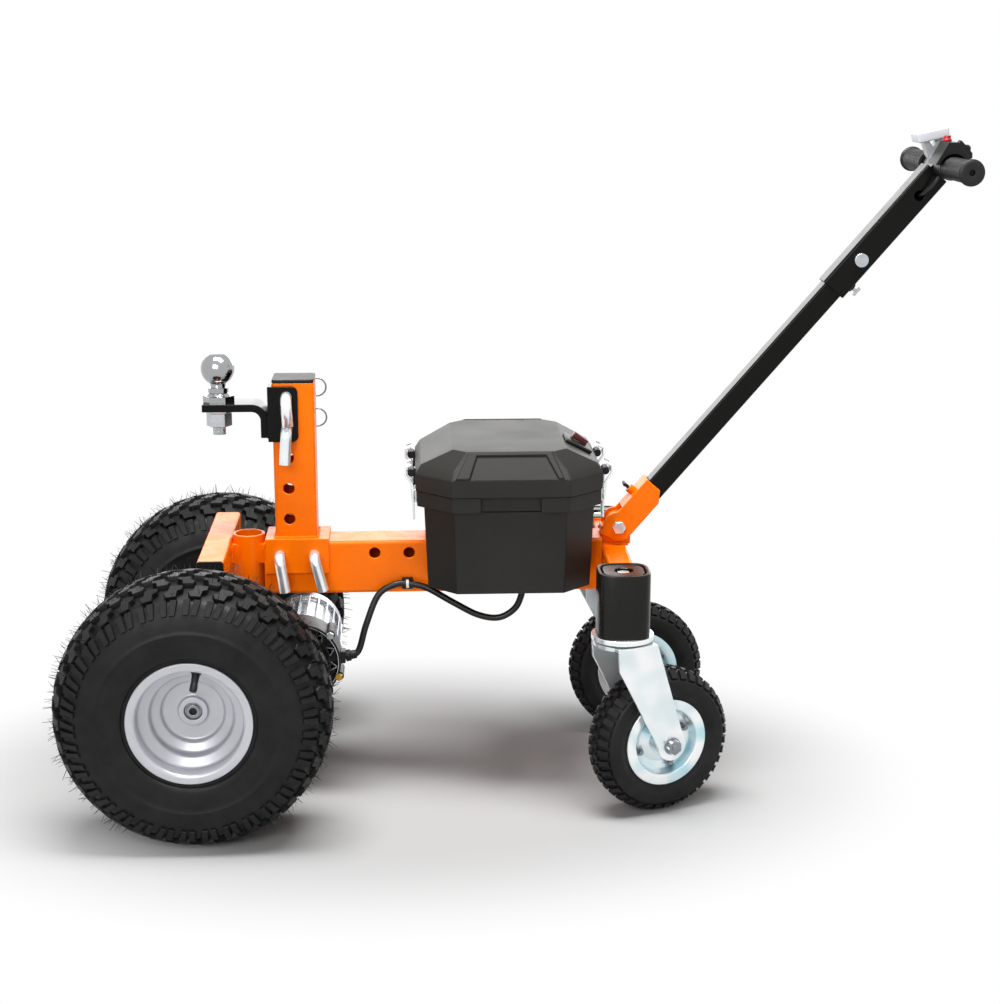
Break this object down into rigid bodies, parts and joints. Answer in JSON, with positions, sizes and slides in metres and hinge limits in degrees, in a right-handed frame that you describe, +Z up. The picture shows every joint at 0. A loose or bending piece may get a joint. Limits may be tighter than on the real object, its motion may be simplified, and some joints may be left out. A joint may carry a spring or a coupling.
{
  "type": "electric trailer dolly",
  "caption": "Walk-behind electric trailer dolly with driven turf tyres, swivel casters, a tow ball on an adjustable post, a battery box and a tilting telescopic handle.",
  "frame": {"origin": "on the floor, midway along and across the whole dolly", "axes": "+X from the ball end to the handle, +Y to the dolly's right side, +Z up"},
  "size_m": [1.2732, 0.602, 0.9596],
  "materials": {
    "frame_orange": "satin",
    "black_paint": "satin",
    "box_plastic": "matte",
    "zinc_plate": "satin",
    "ball_chrome": "polished",
    "motor_aluminium": "satin",
    "wheel_silver": "satin",
    "tyre_rubber": "matte",
    "cable_rubber": "matte",
    "grip_rubber": "matte",
    "black_plastic": "matte",
    "red_plastic": "gloss",
    "pod_plastic": "gloss",
    "tie_plastic": "matte",
    "battery_case": "matte"
  },
  "bodies": {
    "frame": {"front_bar": "frame_orange", "axle_hangers": "frame_orange", "socket_tube": "frame_orange", "main_beam": "frame_orange", "post_saddle": "frame_orange", "ball_post": "frame_orange", "tube_plugs": "black_plastic", "ball_bracket": "black_paint", "tow_ball": "ball_chrome", "ball_nut": "zinc_plate", "hitch_pins": "zinc_plate", "pin_clips": "zinc_plate", "gear_case": "black_paint", "axle_tubes": "black_paint", "motor": "motor_aluminium", "motor_cable": "cable_rubber", "cable_clip": "tie_plastic", "battery_box": "box_plastic", "batteries": "battery_case", "latches": "zinc_plate", "cross_tube": "frame_orange", "caster_legs": "black_paint", "leg_caps": "black_paint", "caster_plates": "zinc_plate", "handle_upright": "frame_orange", "pivot_bolt": "zinc_plate"},
    "lid": {"box_lid": "box_plastic", "latch_catches": "black_plastic", "lid_switch": "red_plastic"},
    "handle": {"handle_socket": "frame_orange", "lower_tube": "black_paint", "pull_pin": "black_plastic"},
    "handle_top": {"upper_sleeve": "black_paint", "clamp_knob": "zinc_plate", "handlebar": "black_paint", "grips": "grip_rubber", "throttle": "black_plastic", "stop_button": "red_plastic", "display_pod": "pod_plastic", "handle_cable": "cable_rubber"},
    "drive_wheel_left": {"drive_tyre_left": "tyre_rubber", "drive_rim_left": "wheel_silver", "drive_shaft_left": "zinc_plate"},
    "drive_wheel_right": {"drive_tyre_right": "tyre_rubber", "drive_rim_right": "wheel_silver", "drive_shaft_right": "zinc_plate"},
    "caster_left": {"fork_left": "zinc_plate"},
    "caster_right": {"fork_right": "zinc_plate"},
    "caster_wheel_left": {"caster_tyre_left": "tyre_rubber", "caster_rim_left": "zinc_plate"},
    "caster_wheel_right": {"caster_tyre_right": "tyre_rubber", "caster_rim_right": "zinc_plate"}
  },
  "joints": [
    {"name": "drive_spin_left", "type": "hinge", "parent": "frame", "child": "drive_wheel_left", "pos_m": [-0.44612, -0.225, 0.1905], "axis": [0, 1, 0], "continuous": true},
    {"name": "drive_spin_right", "type": "hinge", "parent": "frame", "child": "drive_wheel_right", "pos_m": [-0.44612, 0.225, 0.1905], "axis": [0, 1, 0], "continuous": true},
    {"name": "caster_swivel_left", "type": "hinge", "parent": "frame", "child": "caster_left", "pos_m": [0.14788, -0.169, 0.257], "axis": [0, 0, 1], "continuous": true},
    {"name": "caster_spin_left", "type": "hinge", "parent": "caster_left", "child": "caster_wheel_left", "pos_m": [0.20351, -0.14652, 0.106], "axis": [-0.3746, 0.9272, 0], "continuous": true},
    {"name": "caster_swivel_right", "type": "hinge", "parent": "frame", "child": "caster_right", "pos_m": [0.14788, 0.169, 0.257], "axis": [0, 0, 1], "continuous": true},
    {"name": "caster_spin_right", "type": "hinge", "parent": "caster_right", "child": "caster_wheel_right", "pos_m": [0.20774, 0.17319, 0.106], "axis": [-0.0698, 0.9976, 0], "continuous": true},
    {"name": "handle_tilt", "type": "hinge", "parent": "frame", "child": "handle", "pos_m": [0.15688, 0, 0.385], "axis": [0, -1, 0], "range_deg": [-45, 25]},
    {"name": "handle_slide", "type": "slide", "parent": "handle", "child": "handle_top", "axis": [0.6521, 0, 0.7581], "range_m": [-0.09, 0.04]},
    {"name": "lid_lift", "type": "slide", "parent": "frame", "child": "lid", "axis": [0, 0, 1], "range_m": [0, 0.2]}
  ]
}
